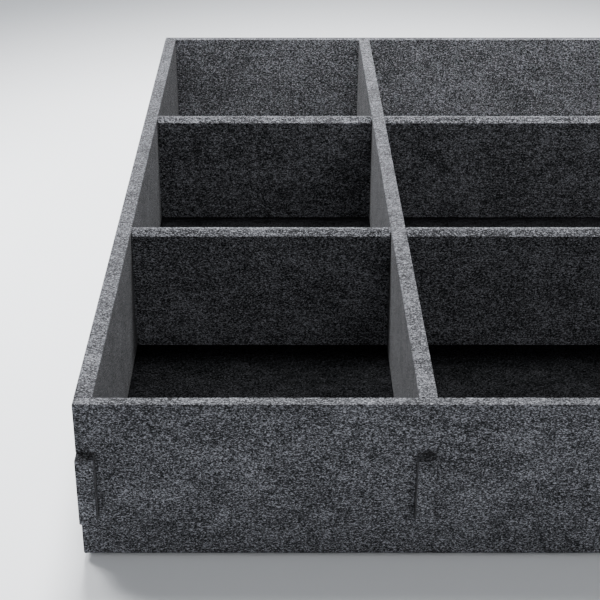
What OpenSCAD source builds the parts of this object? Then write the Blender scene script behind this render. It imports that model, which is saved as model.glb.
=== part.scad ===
// Cube storage unit of interlocking felt board: an open-topped tray that two long dividers and two
// cross dividers part into nine cells.
//
// Frame: millimetres, +Z up. The origin is on the floor, under the middle of the unit. +X runs along
// the front panel to the right, and +Y runs from the front panel to the back panel.

/* [Overall size] */
// Width across the outer faces of the side panels
unit_w = 786; // [680:1:1000]
// Depth across the outer faces of the front and back panels, without the tabs
unit_d = 786; // [500:1:1000]
// Height of the four outer panels
panel_h = 118; // [105:1:200]
// Clear width of the left and right columns of cells
side_cell_w = 209; // [150:1:240]

/* [Boards] */
// Thickness of the side panels and the long dividers
long_t = 12; // [8:0.5:18]
// Thickness of the front and back panels, the cross dividers and the base
cross_t = 9; // [7:0.5:15]
// Bevel along the front top edge of each cross divider
bevel = 4.5; // [0.5:0.5:6]

/* [Joints] */
// Height of every tab
tab_h = 51; // [20:1:53]
// Distance from the top edge of a panel down to its tabs
tab_drop = 37.5; // [10:0.5:40]
// Distance that the long panels' tabs stand out past the front and back panels
tab_out = 8; // [0:0.5:25]
// Play left over each tab in its slot, so that it drops in freely
slot_play = 0.5; // [0:0.5:8]
// Gap left on each side of a tab, a half-lap or the base
joint_gap = 0.1; // [0:0.05:0.3]
// Depth of the groove that holds the edge of the base
groove_depth = 4; // [2:0.5:5]

/* [Base and feet] */
// Height of the base's underside above the lower edge of the outer panels
base_recess = 4; // [2:0.5:8]
// Height of the outer panels' lower edge above the floor
floor_gap = 5; // [2:0.5:15]
// Diameter of a foot
foot_d = 24; // [14:1:40]
// Diameter of the stem that plugs a foot into the base
stem_d = 8; // [4:0.5:12]
// Length of that stem
stem_len = 6; // [2:0.5:6.5]
// Distance from the outer faces to the centre of a corner foot
foot_inset = 40; // [34:1:80]

/* [Hidden] */
$fn = 64;

// Left (-1) or right (1), and front (-1) or back (1)
CORNERS = [["front_left", -1, -1], ["front_right", 1, -1], ["rear_left", -1, 1], ["rear_right", 1, 1]];

// Heights, from the floor up
panel_z = floor_gap;
base_z = panel_z + base_recess;
divider_z = base_z + cross_t;
top_z = panel_z + panel_h;
tab_z = top_z - tab_drop - tab_h;
// Half-laps meet half way up the dividers
lap_z = (divider_z + top_z) / 2;

// Lengths and places on the plan
inner_w = unit_w - 2 * long_t;
inner_d = unit_d - 2 * cross_t;
side_x = (unit_w - long_t) / 2;
long_x = inner_w / 2 - side_cell_w - long_t / 2;
front_y = (unit_d - cross_t) / 2;
cell_d = (inner_d - 2 * cross_t) / 3;
cross_y = (cell_d + cross_t) / 2;
foot_x = unit_w / 2 - foot_inset;
foot_y = unit_d / 2 - foot_inset;

// Foot: its height, the bevel round its tread and the depth of its hole beyond the stem
foot_h = floor_gap + base_recess;
tread_bevel = 1;
hole_extra = 0.5;

// How far a cut runs past the faces that it opens
past = 1;

FELT = [0.27, 0.27, 0.29];
FELT_PALE = [0.34, 0.34, 0.36];
FOOT_BLACK = [0.1, 0.1, 0.11];

// Box centred on x and y, from height z up
module board(size_x, size_y, z, height) {
    translate([-size_x / 2, -size_y / 2, z])
        cube([size_x, size_y, height]);
}

// Upright board that runs front to back, from height z to the top, with a tab through each end panel
module long_board(z) {
    tab_reach = unit_d + 2 * tab_out;
    board(long_t, inner_d, z, top_z - z);
    board(long_t, tab_reach, tab_z, tab_h);
}

// Slots in a side panel for the flush tabs of the two cross dividers
module cross_tab_slots() {
    for (side = [-1, 1])
        translate([0, side * cross_y, 0])
            board(long_t + 2 * past, cross_t + 2 * joint_gap, tab_z - joint_gap, tab_h + 2 * joint_gap);
}

// Side panel: its inner face looks along +X on the left side, and it is grooved there for the base
module side_panel(side) {
    groove_reach = groove_depth + joint_gap;
    color(FELT_PALE)
        translate([side * side_x, 0, 0])
            difference() {
                long_board(panel_z);
                cross_tab_slots();
                translate([-side * (long_t + past - groove_reach) / 2, 0, 0])
                    board(groove_reach + past, inner_d + 2 * past,
                          base_z - joint_gap, cross_t + 2 * joint_gap);
            }
}

// Long divider: notched from below over each cross divider, so its top edge is unbroken
module long_divider(side) {
    color(FELT_PALE)
        translate([side * long_x, 0, 0])
            difference() {
                long_board(divider_z);
                for (y = [-cross_y, cross_y])
                    translate([0, y, 0])
                        board(long_t + 2 * past, cross_t + 2 * joint_gap,
                              divider_z - past, lap_z - divider_z + past);
            }
}

// Front or back panel: two closed slots, and two notches that are open at the panel's ends, take the
// tabs of the long boards, and a stopped groove in the inner face takes the base
module end_panel(end) {
    slot_h = tab_h + joint_gap + slot_play;
    notch_w = long_t + joint_gap;
    groove_w = inner_w + 2 * (groove_depth + joint_gap);
    groove_reach = groove_depth + joint_gap;
    color(FELT)
        translate([0, end * front_y, 0])
            difference() {
                board(unit_w, cross_t, panel_z, panel_h);
                for (side = [-1, 1]) {
                    translate([side * long_x, 0, 0])
                        board(long_t + 2 * joint_gap, cross_t + 2 * past, tab_z - joint_gap, slot_h);
                    translate([side * (unit_w / 2 + (past - notch_w) / 2), 0, 0])
                        board(notch_w + past, cross_t + 2 * past, tab_z - joint_gap, slot_h);
                }
                translate([0, -end * (cross_t + past - groove_reach) / 2, 0])
                    board(groove_w, groove_reach + past, base_z - joint_gap, cross_t + 2 * joint_gap);
            }
}

// Cross divider: bevelled along its front top edge and notched from above under each long divider. Its
// tabs end flush with the outer faces of the side panels
module cross_divider(end) {
    front = -cross_t / 2;
    color(FELT)
        translate([0, end * cross_y, 0]) {
            difference() {
                rotate([90, 0, 90])
                    linear_extrude(height = inner_w, center = true)
                        polygon([
                            [front, divider_z], [-front, divider_z], [-front, top_z],
                            [front + bevel, top_z], [front, top_z - bevel]
                        ]);
                for (x = [-long_x, long_x])
                    translate([x, 0, 0])
                        board(long_t + 2 * joint_gap, cross_t + 2 * past, lap_z, top_z - lap_z + past);
            }
            for (side = [-1, 1])
                translate([side * side_x, 0, 0])
                    board(long_t, cross_t, tab_z, tab_h);
        }
}

// Base: one flat board whose four edges sit in the panels' grooves, with blind holes for the feet
module base_panel() {
    hole_h = stem_len + hole_extra;
    color(FELT)
        difference() {
            board(inner_w + 2 * groove_depth, inner_d + 2 * groove_depth, base_z, cross_t);
            for (corner = CORNERS) {
                translate([corner[1] * foot_x, corner[2] * foot_y, base_z - past])
                    cylinder(d = stem_d, h = hole_h + past);
                translate([corner[1] * long_x, corner[2] * cross_y, base_z - past])
                    cylinder(d = stem_d, h = hole_h + past);
            }
        }
}

// Foot: a flat round glide with a bevelled tread and a stem that plugs into the base
module foot(x, y) {
    foot_r = foot_d / 2;
    stem_r = stem_d / 2;
    color(FOOT_BLACK)
        translate([x, y, 0])
            rotate_extrude()
                polygon([
                    [0, 0], [foot_r - tread_bevel, 0], [foot_r, tread_bevel], [foot_r, foot_h],
                    [stem_r, foot_h], [stem_r, foot_h + stem_len], [0, foot_h + stem_len]
                ]);
}

module left_side_panel() { side_panel(-1); }
module right_side_panel() { side_panel(1); }
module left_long_divider() { long_divider(-1); }
module right_long_divider() { long_divider(1); }
module front_panel() { end_panel(-1); }
module back_panel() { end_panel(1); }
module front_cross_divider() { cross_divider(-1); }
module rear_cross_divider() { cross_divider(1); }

left_side_panel();
right_side_panel();
left_long_divider();
right_long_divider();
front_panel();
back_panel();
front_cross_divider();
rear_cross_divider();
base_panel();
for (corner = CORNERS) {
    foot(corner[1] * foot_x, corner[2] * foot_y);
    foot(corner[1] * long_x, corner[2] * cross_y);
}
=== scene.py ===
"""Looks of the felt storage tray: felt boards with soft cut edges, rubber feet, floor, lights, camera."""
import math

import bpy
import numpy as np
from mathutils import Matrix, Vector
from mathutils.geometry import delaunay_2d_cdt


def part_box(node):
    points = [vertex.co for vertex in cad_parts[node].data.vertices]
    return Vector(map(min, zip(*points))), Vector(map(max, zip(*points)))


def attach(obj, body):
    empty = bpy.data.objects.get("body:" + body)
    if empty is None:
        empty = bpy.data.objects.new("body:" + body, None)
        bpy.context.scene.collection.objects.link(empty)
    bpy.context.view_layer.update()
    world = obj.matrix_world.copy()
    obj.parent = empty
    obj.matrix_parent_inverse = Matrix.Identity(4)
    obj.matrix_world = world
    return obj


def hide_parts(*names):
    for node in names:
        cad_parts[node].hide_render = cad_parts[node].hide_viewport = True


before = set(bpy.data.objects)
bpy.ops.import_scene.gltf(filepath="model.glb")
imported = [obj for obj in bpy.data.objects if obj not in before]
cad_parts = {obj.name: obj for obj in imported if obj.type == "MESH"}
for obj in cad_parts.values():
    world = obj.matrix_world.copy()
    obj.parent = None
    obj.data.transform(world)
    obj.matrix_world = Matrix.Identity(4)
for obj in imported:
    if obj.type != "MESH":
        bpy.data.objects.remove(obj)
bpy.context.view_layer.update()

BODY = "root"
MM = 0.001
X, Y, Z = 0, 1, 2

# The boards' joints, as the CAD cuts them
TAB_H = 51 * MM
TAB_DROP = 37.5 * MM
SLOT_PLAY = 0.5 * MM
FIT_GAP = 0.1 * MM
TOP_BEVEL = 4.5 * MM

# A knife-cut felt edge: its soft radius, the radius of its corners and the steps round each
EDGE_R = 0.8 * MM
CORNER_R = 1.0 * MM
ROUND_STEPS = 4
QUARTER_TURN = math.pi / 2

# How an outline is filled in: inside it but not inside its holes, with points this close made one
FILL_AROUND_HOLES = 2
SAME_POINT = 1e-9

SIDE_NODES = ("left_side_panel", "right_side_panel")
LONG_NODES = ("left_long_divider", "right_long_divider")
END_NODES = ("front_panel", "back_panel")
CROSS_NODES = ("front_cross_divider", "rear_cross_divider")


def box(node):
    """The low and high corners of a CAD node."""
    low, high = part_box(node)
    return np.array(low), np.array(high)


def middle(node, axis):
    """The middle of a CAD node along one axis."""
    low, high = box(node)
    return (low[axis] + high[axis]) / 2


LEFT_FACE, LEFT_INNER = (corner[X] for corner in box("left_side_panel"))
RIGHT_INNER = box("right_side_panel")[0][X]
FRONT_LOW, FRONT_HIGH = box("front_panel")
BASE_LOW, BASE_TOP = (corner[Z] for corner in box("base_panel"))
FRONT_INNER, BACK_INNER = FRONT_HIGH[Y], box("back_panel")[0][Y]
TOP = FRONT_HIGH[Z]
TAB_TOP = TOP - TAB_DROP
TAB_LOW = TAB_TOP - TAB_H
LAP_Z = (BASE_TOP + TOP) / 2

LONG_T = LEFT_INNER - LEFT_FACE
CROSS_T = FRONT_HIGH[Y] - FRONT_LOW[Y]
LONG_CENTRES = [middle(node, X) for node in LONG_NODES]
CROSS_CENTRES = [middle(node, Y) for node in CROSS_NODES]

# Half the width of the slots and half-laps that take a long board, and of those that take a cross board
LONG_HALF = LONG_T / 2 + FIT_GAP
CROSS_HALF = CROSS_T / 2 + FIT_GAP


# ---------------------------------------------------------------- surfaces

def mesh_piece(name, points, faces, material, smooth=True):
    """A new object from an array of points and a list of faces, with one material."""
    mesh = bpy.data.meshes.new(name)
    mesh.from_pydata([tuple(p) for p in points], [], faces)
    mesh.polygons.foreach_set("use_smooth", np.full(len(mesh.polygons), smooth))
    mesh.materials.append(material)
    mesh.validate()
    mesh.update()
    piece = bpy.data.objects.new(name, mesh)
    bpy.context.scene.collection.objects.link(piece)
    return piece


def rounded_loop(corners, radius):
    """Points and outward normals along a square-cornered outline whose corners are arcs.

    The outline runs anticlockwise. An arc starts one radius before its corner, where the outward
    normal is that of the edge that comes in, and turns to the normal of the edge that goes out. At
    an outer corner each point is the arc's centre plus radius times the normal, and at an inner
    corner it is the centre minus radius times the normal."""
    corners = np.array(corners, float)
    along_in = corners - np.roll(corners, 1, axis=0)
    along_in /= np.linalg.norm(along_in, axis=1)[:, None]
    along_out = np.roll(along_in, -1, axis=0)
    turn = np.sign(along_in[:, 0] * along_out[:, 1] - along_in[:, 1] * along_out[:, 0])
    normal_in = np.stack([along_in[:, 1], -along_in[:, 0]], axis=1)
    normal_out = np.stack([along_out[:, 1], -along_out[:, 0]], axis=1)
    angle = np.linspace(0, QUARTER_TURN, ROUND_STEPS + 1)
    normals = (normal_in[:, None] * np.cos(angle)[None, :, None]
               + normal_out[:, None] * np.sin(angle)[None, :, None])
    centres = corners - radius * along_in - turn[:, None] * radius * normal_in
    points = centres[:, None] + turn[:, None, None] * radius * normals
    return points.reshape(-1, 2), normals.reshape(-1, 2)


def edge_profile(thickness):
    """Inset and depth of a cut edge from one face to the other: a quarter round, a flat, a quarter
    round."""
    angle = np.linspace(0, QUARTER_TURN, ROUND_STEPS + 1)
    inset = EDGE_R * (1 - np.sin(angle))
    depth = EDGE_R * (1 - np.cos(angle))
    return np.concatenate([inset, inset[::-1]]), np.concatenate([depth, thickness - depth[::-1]])


def bevel_profile(thickness):
    """The same for an edge that is bevelled on its near side: its first steps run down the bevel."""
    inset, depth = edge_profile(thickness)
    soft = 0.3 * EDGE_R
    near_inset = np.linspace(TOP_BEVEL - soft, soft, ROUND_STEPS - 1)
    inset[:ROUND_STEPS + 1] = np.concatenate([[TOP_BEVEL + soft], near_inset, [0]])
    depth[:ROUND_STEPS + 1] = np.concatenate([[0], TOP_BEVEL - near_inset, [TOP_BEVEL + soft]])
    return inset, depth


def loop_rings(corners, radius, thickness, bevel_top=None):
    """The cut edge of one outline: the edge profile carried along the rounded loop.

    Each ring is the loop moved in by the profile's inset along the loop's normals, at the profile's
    depth. Where the loop lies on the top edge of a bevelled board, the bevel's profile takes over in
    proportion to the square of the normal's upward part."""
    points, normals = rounded_loop(corners, radius)
    inset, depth = edge_profile(thickness)
    ring = points[None] - inset[:, None, None] * normals[None]
    ring_depth = np.repeat(depth[:, None], len(points), axis=1)
    if bevel_top is not None:
        bevel_inset, bevel_depth = bevel_profile(thickness)
        on_top = points[:, 1] > bevel_top - radius - EDGE_R
        share = np.where(on_top, np.clip(normals[:, 1], 0, 1) ** 2, 0)
        up_inset = inset[:, None] + share[None] * (bevel_inset - inset)[:, None]
        ring[:, :, 1] = points[None, :, 1] - up_inset * normals[None, :, 1]
        ring_depth = ring_depth + share[None] * (bevel_depth - depth)[:, None]
    return np.concatenate([ring, ring_depth[:, :, None]], axis=2)


def ring_faces(first, rings, count):
    """Quads between neighbouring closed rings of points."""
    i, j = np.meshgrid(np.arange(rings - 1), np.arange(count), indexing="ij")
    after = (j + 1) % count
    near, far = i * count, (i + 1) * count
    quads = np.stack([near + j, near + after, far + after, far + j], axis=-1)
    return (first + quads.reshape(-1, 4)).tolist()


def cap_faces(loops, firsts):
    """Triangles that fill the area between an outline and its holes."""
    flat = np.concatenate(loops)
    index = np.concatenate([first + np.arange(len(loop)) for loop, first in zip(loops, firsts)])
    starts = np.cumsum([0] + [len(loop) for loop in loops])
    rims = [list(range(a, b)) for a, b in zip(starts[:-1], starts[1:])]
    result = delaunay_2d_cdt([Vector(p) for p in flat], [], rims, FILL_AROUND_HOLES, SAME_POINT)
    origin = [ids[0] for ids in result[3]]
    return index[np.array([[origin[v] for v in face] for face in result[2]])]


def felt_board(name, outline, holes, thin_axis, low, high, material, bevel_top=None):
    """A flat felt board: an outline with square-cornered holes, carried from low to high.

    The outline runs anticlockwise in the board's plane and the holes run clockwise. thin_axis is the
    axis that the thickness lies along."""
    loops = [loop_rings(outline, CORNER_R, high - low, bevel_top)]
    loops += [loop_rings(hole, CORNER_R, high - low) for hole in holes]
    points, faces, firsts, count = [], [], [], 0
    for rings in loops:
        firsts.append(count)
        faces += ring_faces(count, rings.shape[0], rings.shape[1])
        points.append(rings.reshape(-1, 3))
        count += rings.shape[0] * rings.shape[1]
    flat = np.concatenate(points)
    ends = [first + (rings.shape[0] - 1) * rings.shape[1] for first, rings in zip(firsts, loops)]
    near = cap_faces([rings[0, :, :2] for rings in loops], firsts)
    far = cap_faces([rings[-1, :, :2] for rings in loops], ends)
    faces += near[:, ::-1].tolist() + far.tolist()
    plane = [axis for axis in (X, Y, Z) if axis != thin_axis]
    world = np.zeros_like(flat)
    world[:, plane[0]] = flat[:, 0]
    world[:, plane[1]] = flat[:, 1]
    world[:, thin_axis] = low + flat[:, 2]
    if thin_axis == Y:
        # Seen along +Y, x and z run the other way round, so the faces are turned to point outwards
        faces = [face[::-1] for face in faces]
    piece = mesh_piece(name, world, faces, material)
    shading = piece.modifiers.new("even faces", "WEIGHTED_NORMAL")
    shading.keep_sharp = False
    shading.weight = 100
    return piece


def stand_for(piece, node):
    """The piece rides on the unit and shows in place of one CAD node."""
    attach(piece, BODY)
    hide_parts(node)


# ---------------------------------------------------------------- finishes

def add(nodes, kind, inputs=None, **settings):
    """A shader node with its settings and its unlinked inputs filled in."""
    made = nodes.new(kind)
    for key, value in settings.items():
        setattr(made, key, value)
    for key, value in (inputs or {}).items():
        made.inputs[key].default_value = value
    return made


def new_material(name, roughness):
    """A material with a Principled surface of one roughness, its nodes and its links."""
    material = bpy.data.materials.new(name)
    material.use_nodes = True
    nodes, links = material.node_tree.nodes, material.node_tree.links
    surface = nodes["Principled BSDF"]
    surface.inputs["Roughness"].default_value = roughness
    return material, nodes, links, surface


def two_tones(nodes, links, source, surface, first, second):
    """The surface's colour runs from the first colour to the second as the source goes from 0 to 1."""
    shade = add(nodes, "ShaderNodeValToRGB")
    shade.color_ramp.elements[0].color = first
    shade.color_ramp.elements[1].color = second
    links.new(source, shade.inputs["Fac"])
    links.new(shade.outputs["Color"], surface.inputs["Base Color"])


def relief(nodes, links, source, surface, strength, height):
    """The source stands up from the surface as fine relief."""
    bump = add(nodes, "ShaderNodeBump", {"Strength": strength, "Distance": height})
    links.new(source, bump.inputs["Height"])
    links.new(bump.outputs["Normal"], surface.inputs["Normal"])


# The felt's layers, each a noise: its size in mm, how far it is drawn out from side to side, its lean
# in radians, its finer detail, how rough that is, and how much it is warped
FLECK_RIGHT = (0.6, 2.6, 0.3, 1.0, 0.9, 0.3)
FLECK_LEFT = (0.6, 2.6, -0.3, 1.0, 0.9, 0.3)
FINE_GRAIN = (1.2, 2.4, 0.0, 1.0, 0.9, 0.0)
MOTTLING = (5.0, 2.6, 0.1, 2.0, 0.5, 0.5)
CLOUDS = (26.0, 1.4, 0.0, 1.0, 0.5, 0.0)

# Weights of those layers. The long boards are mottled less than the others
FLECK, GRAIN, MOTTLE, LONG_MOTTLE, CLOUD = 1.95, 1.25, 0.5, 0.4, 0.3

# The felt's greys from the darkest fibres to the palest, and their cool tint
FELT_TONES = ((0.0, 0.003), (0.3, 0.013), (0.5, 0.036), (0.7, 0.085), (1.0, 0.22))
FELT_TINT = (0.965, 0.985, 1.09)

# Step from one board's pattern to the next one's
PATTERN_STEP = np.array([0.37, 0.53, 0.71])

# How coarse the flecks and the grain are: a little coarser on the boards further back
COARSE = {
    "front_panel": 1.0,
    "front_cross_divider": 1.1,
    "rear_cross_divider": 1.2,
    "back_panel": 1.25,
}


def felt_noise(nodes, links, place, seed, layer, coarse=1.0):
    """One layer of the felt: noise drawn out from side to side and turned by its lean."""
    size_mm, stretch, lean, detail, roughness, warp = layer
    lay = add(nodes, "ShaderNodeMapping",
              {"Location": PATTERN_STEP * seed, "Rotation": (0.0, lean, lean),
               "Scale": (stretch, 1.0, 1.0)}, vector_type="TEXTURE")
    links.new(place.outputs["Object"], lay.inputs["Vector"])
    noise = add(nodes, "ShaderNodeTexNoise",
                {"Scale": 1 / (size_mm * coarse * MM), "Detail": detail, "Roughness": roughness,
                 "Distortion": warp})
    links.new(lay.outputs["Vector"], noise.inputs["Vector"])
    return noise.outputs["Fac"]


def felt(name, seed, shade=1.0, mottle=MOTTLE, coarse=1.0, gloss=0.04, sheen=0.05):
    """Pressed felt of black, grey and white fibres.

    The tone is a half plus a weighted sum of noises, each taken about its middle: two layers of short
    flecks that lean opposite ways, a fine even grain, mottling and wide clouds. A ramp turns the tone
    into a grey, and shade darkens it. coarse enlarges the flecks and the grain, and seed moves the
    pattern, so no two boards match."""
    material, nodes, links, surface = new_material(name, roughness=0.95)
    place = add(nodes, "ShaderNodeTexCoord")
    layers = ((FLECK, FLECK_RIGHT, coarse), (FLECK, FLECK_LEFT, coarse), (GRAIN, FINE_GRAIN, coarse),
              (mottle, MOTTLING, 1.0), (CLOUD, CLOUDS, 1.0))
    tone = None
    for weight, layer, size in layers:
        start = 0.5 if tone is None else 0.0
        part = add(nodes, "ShaderNodeMath", {1: weight, 2: start - weight / 2}, operation="MULTIPLY_ADD")
        links.new(felt_noise(nodes, links, place, seed, layer, size), part.inputs[0])
        if tone is None:
            tone = part.outputs["Value"]
            continue
        both = add(nodes, "ShaderNodeMath", operation="ADD")
        links.new(tone, both.inputs[0])
        links.new(part.outputs["Value"], both.inputs[1])
        tone = both.outputs["Value"]
    ramp = add(nodes, "ShaderNodeValToRGB")
    stops = ramp.color_ramp.elements
    for position, _ in FELT_TONES[1:-1]:
        stops.new(position)
    for stop, (position, grey) in zip(stops, FELT_TONES):
        stop.position = position
        stop.color = tuple(shade * grey * tint for tint in FELT_TINT) + (1.0,)
    links.new(tone, ramp.inputs["Fac"])
    links.new(ramp.outputs["Color"], surface.inputs["Base Color"])
    relief(nodes, links, tone, surface, strength=0.4, height=0.3 * MM)
    surface.inputs["Specular IOR Level"].default_value = gloss
    surface.inputs["Sheen Weight"].default_value = sheen
    surface.inputs["Sheen Roughness"].default_value = 0.6
    return material


RUBBER_DARK = (0.018, 0.018, 0.019, 1)
RUBBER_PALE = (0.042, 0.042, 0.044, 1)
RUBBER_GRAIN = 1 / 1.4 * MM


def rubber():
    """Matt black moulded rubber with a fine grain."""
    material, nodes, links, surface = new_material("foot_rubber", roughness=0.6)
    place = add(nodes, "ShaderNodeTexCoord")
    grain = add(nodes, "ShaderNodeTexNoise", {"Scale": 1 / RUBBER_GRAIN, "Detail": 2.0})
    links.new(place.outputs["Object"], grain.inputs["Vector"])
    two_tones(nodes, links, grain.outputs["Fac"], surface, RUBBER_DARK, RUBBER_PALE)
    relief(nodes, links, grain.outputs["Fac"], surface, strength=0.3, height=0.1 * MM)
    return material


# ---------------------------------------------------------------- boards

def long_board_outline(node, notches=()):
    """Side view of a board that runs front to back: (y, z) corners with a tab at each end, and
    notches cut up from the lower edge to the half-lap's height."""
    low, high = box(node)
    start, end, z = FRONT_INNER, BACK_INNER, low[Z]
    points = [(start, z)]
    for centre in notches:
        a, b = centre - CROSS_HALF, centre + CROSS_HALF
        points += [(a, z), (a, LAP_Z), (b, LAP_Z), (b, z)]
    points += [(end, z), (end, TAB_LOW), (high[Y], TAB_LOW), (high[Y], TAB_TOP), (end, TAB_TOP)]
    points += [(end, TOP), (start, TOP)]
    points += [(start, TAB_TOP), (low[Y], TAB_TOP), (low[Y], TAB_LOW), (start, TAB_LOW)]
    return points


def slot_hole(centre, half, play):
    """Clockwise corners of a closed slot for a tab, with play left over the tab."""
    low, high = TAB_LOW - FIT_GAP, TAB_TOP + play
    return [(centre - half, low), (centre - half, high), (centre + half, high), (centre + half, low)]


def end_panel_outline():
    """Front view of the front or back panel: (x, z) corners with a notch open at each end."""
    x0, x1, z = FRONT_LOW[X], FRONT_HIGH[X], FRONT_LOW[Z]
    reach = LONG_T + FIT_GAP
    low, high = TAB_LOW - FIT_GAP, TAB_TOP + SLOT_PLAY
    return [(x0, z), (x1, z), (x1, low), (x1 - reach, low), (x1 - reach, high), (x1, high), (x1, TOP),
            (x0, TOP), (x0, high), (x0 + reach, high), (x0 + reach, low), (x0, low)]


def cross_outline(node):
    """Front view of a cross divider: (x, z) corners with a flush tab at each end, and notches cut
    down from the top edge to the half-lap's height."""
    low, high = box(node)
    x0, x1, z = LEFT_INNER, RIGHT_INNER, low[Z]
    points = [(x0, z), (x1, z)]
    points += [(x1, TAB_LOW), (high[X], TAB_LOW), (high[X], TAB_TOP), (x1, TAB_TOP), (x1, TOP)]
    for centre in sorted(LONG_CENTRES, reverse=True):
        a, b = centre - LONG_HALF, centre + LONG_HALF
        points += [(b, TOP), (b, LAP_Z), (a, LAP_Z), (a, TOP)]
    points += [(x0, TOP), (x0, TAB_TOP), (low[X], TAB_TOP), (low[X], TAB_LOW), (x0, TAB_LOW)]
    return points


def board_for(node, outline, holes, thin_axis, material, bevel_top=None):
    """A felt board that shows in place of one CAD node and is as thick as it."""
    low, high = box(node)
    board = felt_board(f"{node}_felt", outline, holes, thin_axis, low[thin_axis], high[thin_axis],
                       material, bevel_top)
    stand_for(board, node)


for seed, node in enumerate(SIDE_NODES, start=1):
    holes = [slot_hole(centre, CROSS_HALF, FIT_GAP) for centre in CROSS_CENTRES]
    board_for(node, long_board_outline(node), holes, X, felt(f"felt_{node}", seed, mottle=LONG_MOTTLE))

for seed, node in enumerate(LONG_NODES, start=3):
    outline = long_board_outline(node, CROSS_CENTRES)
    board_for(node, outline, [], X, felt(f"felt_{node}", seed, mottle=LONG_MOTTLE))

for seed, node in enumerate(END_NODES, start=5):
    holes = [slot_hole(centre, LONG_HALF, SLOT_PLAY) for centre in LONG_CENTRES]
    board_for(node, end_panel_outline(), holes, Y, felt(f"felt_{node}", seed, coarse=COARSE[node]))

for seed, node in enumerate(CROSS_NODES, start=7):
    finish = felt(f"felt_{node}", seed, coarse=COARSE[node])
    board_for(node, cross_outline(node), [], Y, finish, bevel_top=TOP)

# The base is made only between the walls, because the grooves hide its edges. Its felt is the boards'
# felt darkened to near-black, which is painted shade at the bottoms of the cells
base_x, base_y = LEFT_INNER + FIT_GAP, FRONT_INNER + FIT_GAP
base_outline = [(base_x, base_y), (-base_x, base_y), (-base_x, -base_y), (base_x, -base_y)]
painted_shade_base_felt = felt("felt_base_panel", 9, shade=0.08, gloss=0.0, sheen=0.0)
board_for("base_panel", base_outline, [], Z, painted_shade_base_felt)


# ---------------------------------------------------------------- feet

FOOT_TURNS = 48
TREAD_ROUND = 1.2 * MM
TREAD_HOLLOW = 0.5 * MM
TOP_CHAMFER = 0.4 * MM

# Radii of the hollow under the tread, its step and the tread's flat, as parts of the foot's radius
TREAD_RINGS = np.array([0, 0.35, 0.4, 0.6, 0.65])


def foot(node, material):
    """A round foot: its side view carried round its own upright axis.

    The side view runs from the hollow under the tread, over the tread, round a quarter circle, up the
    side and over a chamfer to the middle of the top."""
    low, high = box(node)
    centre = (low + high) / 2
    radius = (high[X] - low[X]) / 2
    tall = BASE_LOW - low[Z]
    angle = np.linspace(0, QUARTER_TURN, ROUND_STEPS + 1)
    r = np.concatenate([TREAD_RINGS * radius, radius - TREAD_ROUND * (1 - np.sin(angle)),
                        [radius, radius - TOP_CHAMFER, 0]])
    z = np.concatenate([[TREAD_HOLLOW, TREAD_HOLLOW, 0, 0, 0], TREAD_ROUND * (1 - np.cos(angle)),
                        [tall - TOP_CHAMFER, tall, tall]])
    turn = np.linspace(0, 2 * math.pi, FOOT_TURNS, endpoint=False)
    points = np.stack([centre[X] + r[:, None] * np.cos(turn), centre[Y] + r[:, None] * np.sin(turn),
                       low[Z] + np.repeat(z[:, None], FOOT_TURNS, axis=1)], axis=-1)
    poles = [points[0, 0], points[-1, 0]]
    rings = points[1:-1].reshape(-1, 3)
    pole_low = len(rings)
    pole_high = pole_low + 1
    j = np.arange(FOOT_TURNS)
    after = (j + 1) % FOOT_TURNS
    last = pole_low - FOOT_TURNS
    faces = ring_faces(0, len(r) - 2, FOOT_TURNS)
    faces += np.stack([np.full(FOOT_TURNS, pole_low), after, j], axis=1).tolist()
    faces += np.stack([np.full(FOOT_TURNS, pole_high), last + j, last + after], axis=1).tolist()
    piece = mesh_piece(f"{node}_rubber", np.concatenate([rings, poles]), faces, material)
    stand_for(piece, node)


foot_rubber = rubber()
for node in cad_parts:
    if "foot" in node:
        foot(node, foot_rubber)


# ---------------------------------------------------------------- floor, lights and camera

FLOOR_HALF = 6.0
# The floor's near tone and its darker far tone, which is painted shade, then where that painted shade
# starts and ends, in metres from the unit
FLOOR_NEAR = (0.88, 0.9, 0.93, 1)
FLOOR_PAINTED_SHADE = (0.29, 0.303, 0.323, 1)
PAINTED_SHADE_FROM, PAINTED_SHADE_TO = 0.55, 1.25
HAZE_SCALE, HAZE_WEIGHT = 1.5, 0.04


def floor():
    """A pale floor whose colour darkens gently away from the unit: painted shade, the light's fall-off
    painted into the floor.
    """
    material, nodes, links, surface = new_material("floor_paint", roughness=0.7)
    place = add(nodes, "ShaderNodeTexCoord")
    reach = add(nodes, "ShaderNodeVectorMath", operation="LENGTH")
    links.new(place.outputs["Object"], reach.inputs[0])
    far = add(nodes, "ShaderNodeMapRange", {"From Min": PAINTED_SHADE_FROM, "From Max": PAINTED_SHADE_TO},
              interpolation_type="SMOOTHSTEP")
    links.new(reach.outputs["Value"], far.inputs["Value"])
    haze = add(nodes, "ShaderNodeTexNoise", {"Scale": HAZE_SCALE, "Detail": 1.0})
    links.new(place.outputs["Object"], haze.inputs["Vector"])
    blend = add(nodes, "ShaderNodeMath", {1: HAZE_WEIGHT}, operation="MULTIPLY_ADD")
    links.new(haze.outputs["Fac"], blend.inputs[0])
    links.new(far.outputs["Result"], blend.inputs[2])
    two_tones(nodes, links, blend.outputs["Value"], surface, FLOOR_NEAR, FLOOR_PAINTED_SHADE)
    half = FLOOR_HALF
    corners = [(-half, -half, 0), (half, -half, 0), (half, half, 0), (-half, half, 0)]
    mesh_piece("floor", corners, [[0, 1, 2, 3]], material, smooth=False)


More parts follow.
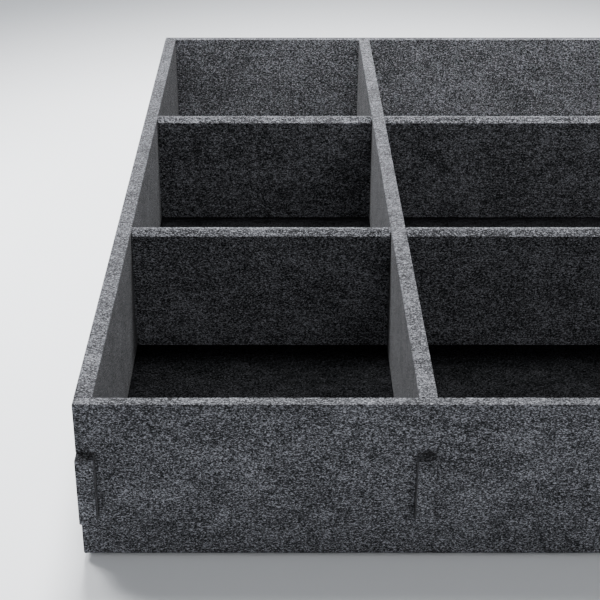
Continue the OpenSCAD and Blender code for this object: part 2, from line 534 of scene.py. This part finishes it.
# Soft lights: place, the point that each looks at, width and height, watts, and spread in degrees
LIGHTS = {
    "key_light": ((-0.3, 0.38, 1.6), (-0.09, 0.0, 0.0), (0.55, 0.5), 80.0, 180),
    "left_light": ((-0.9, 0.17, 1.0), (-0.27, 0.0, 0.0), (0.4, 0.4), 13.5, 180),
    "near_light": ((0.3, 0.1, 0.55), (0.09, 0.0, 0.0), (0.4, 0.4), 4.8, 180),
    "front_light": ((0.0, -1.6, 1.2), (0.0, 0.0, 0.0), (1.0, 1.0), 8.0, 180),
    "back_wall_light": ((-0.1, -0.45, 1.0), (-0.1, 0.4, 0.08), (0.5, 0.1), 0.4, 18),
    "low_front_light": ((0.0, -1.6, 0.68), (0.0, 0.0, 0.05), (1.6, 0.4), 4.0, 180),
}


def area_light(name, place, target, size, power, spread):
    """A soft rectangular light at place that looks at target."""
    light = bpy.data.lights.new(name, "AREA")
    light.shape = "RECTANGLE"
    light.size, light.size_y = size
    light.energy = power
    light.spread = math.radians(spread)
    lamp = bpy.data.objects.new(name, light)
    lamp.location = place
    lamp.rotation_euler = (Vector(target) - Vector(place)).to_track_quat("-Z", "Y").to_euler()
    lamp.visible_camera = False
    bpy.context.scene.collection.objects.link(lamp)


def studio_air(colour, strength):
    """Faint cool light from all round."""
    world = bpy.data.worlds.new("studio")
    bpy.context.scene.world = world
    world.use_nodes = True
    background = world.node_tree.nodes["Background"]
    background.inputs["Color"].default_value = colour
    background.inputs["Strength"].default_value = strength


# The camera looks down over the front left corner, along the long boards. Its place is measured from
# the top of that corner
CAMERA_OFFSET = (0.1333, -0.7227, 0.4573)
CAMERA_DOWN = 27.88
SENSOR_MM, LENS_MM = 36.0, 80.94
CAMERA_SHIFT = 0.03


def set_camera():
    """The view from over the front left corner."""
    data = bpy.data.cameras.new("camera")
    data.sensor_width = SENSOR_MM
    data.lens = LENS_MM
    data.shift_x = CAMERA_SHIFT
    camera = bpy.data.objects.new("camera", data)
    camera.location = Vector((FRONT_LOW[X], FRONT_LOW[Y], TOP)) + Vector(CAMERA_OFFSET)
    camera.rotation_euler = (math.radians(90 - CAMERA_DOWN), 0, 0)
    bpy.context.scene.collection.objects.link(camera)
    bpy.context.scene.camera = camera


floor()
for name, settings in LIGHTS.items():
    area_light(name, *settings)
studio_air(colour=(0.86, 0.93, 1.0, 1), strength=0.12)
set_camera()
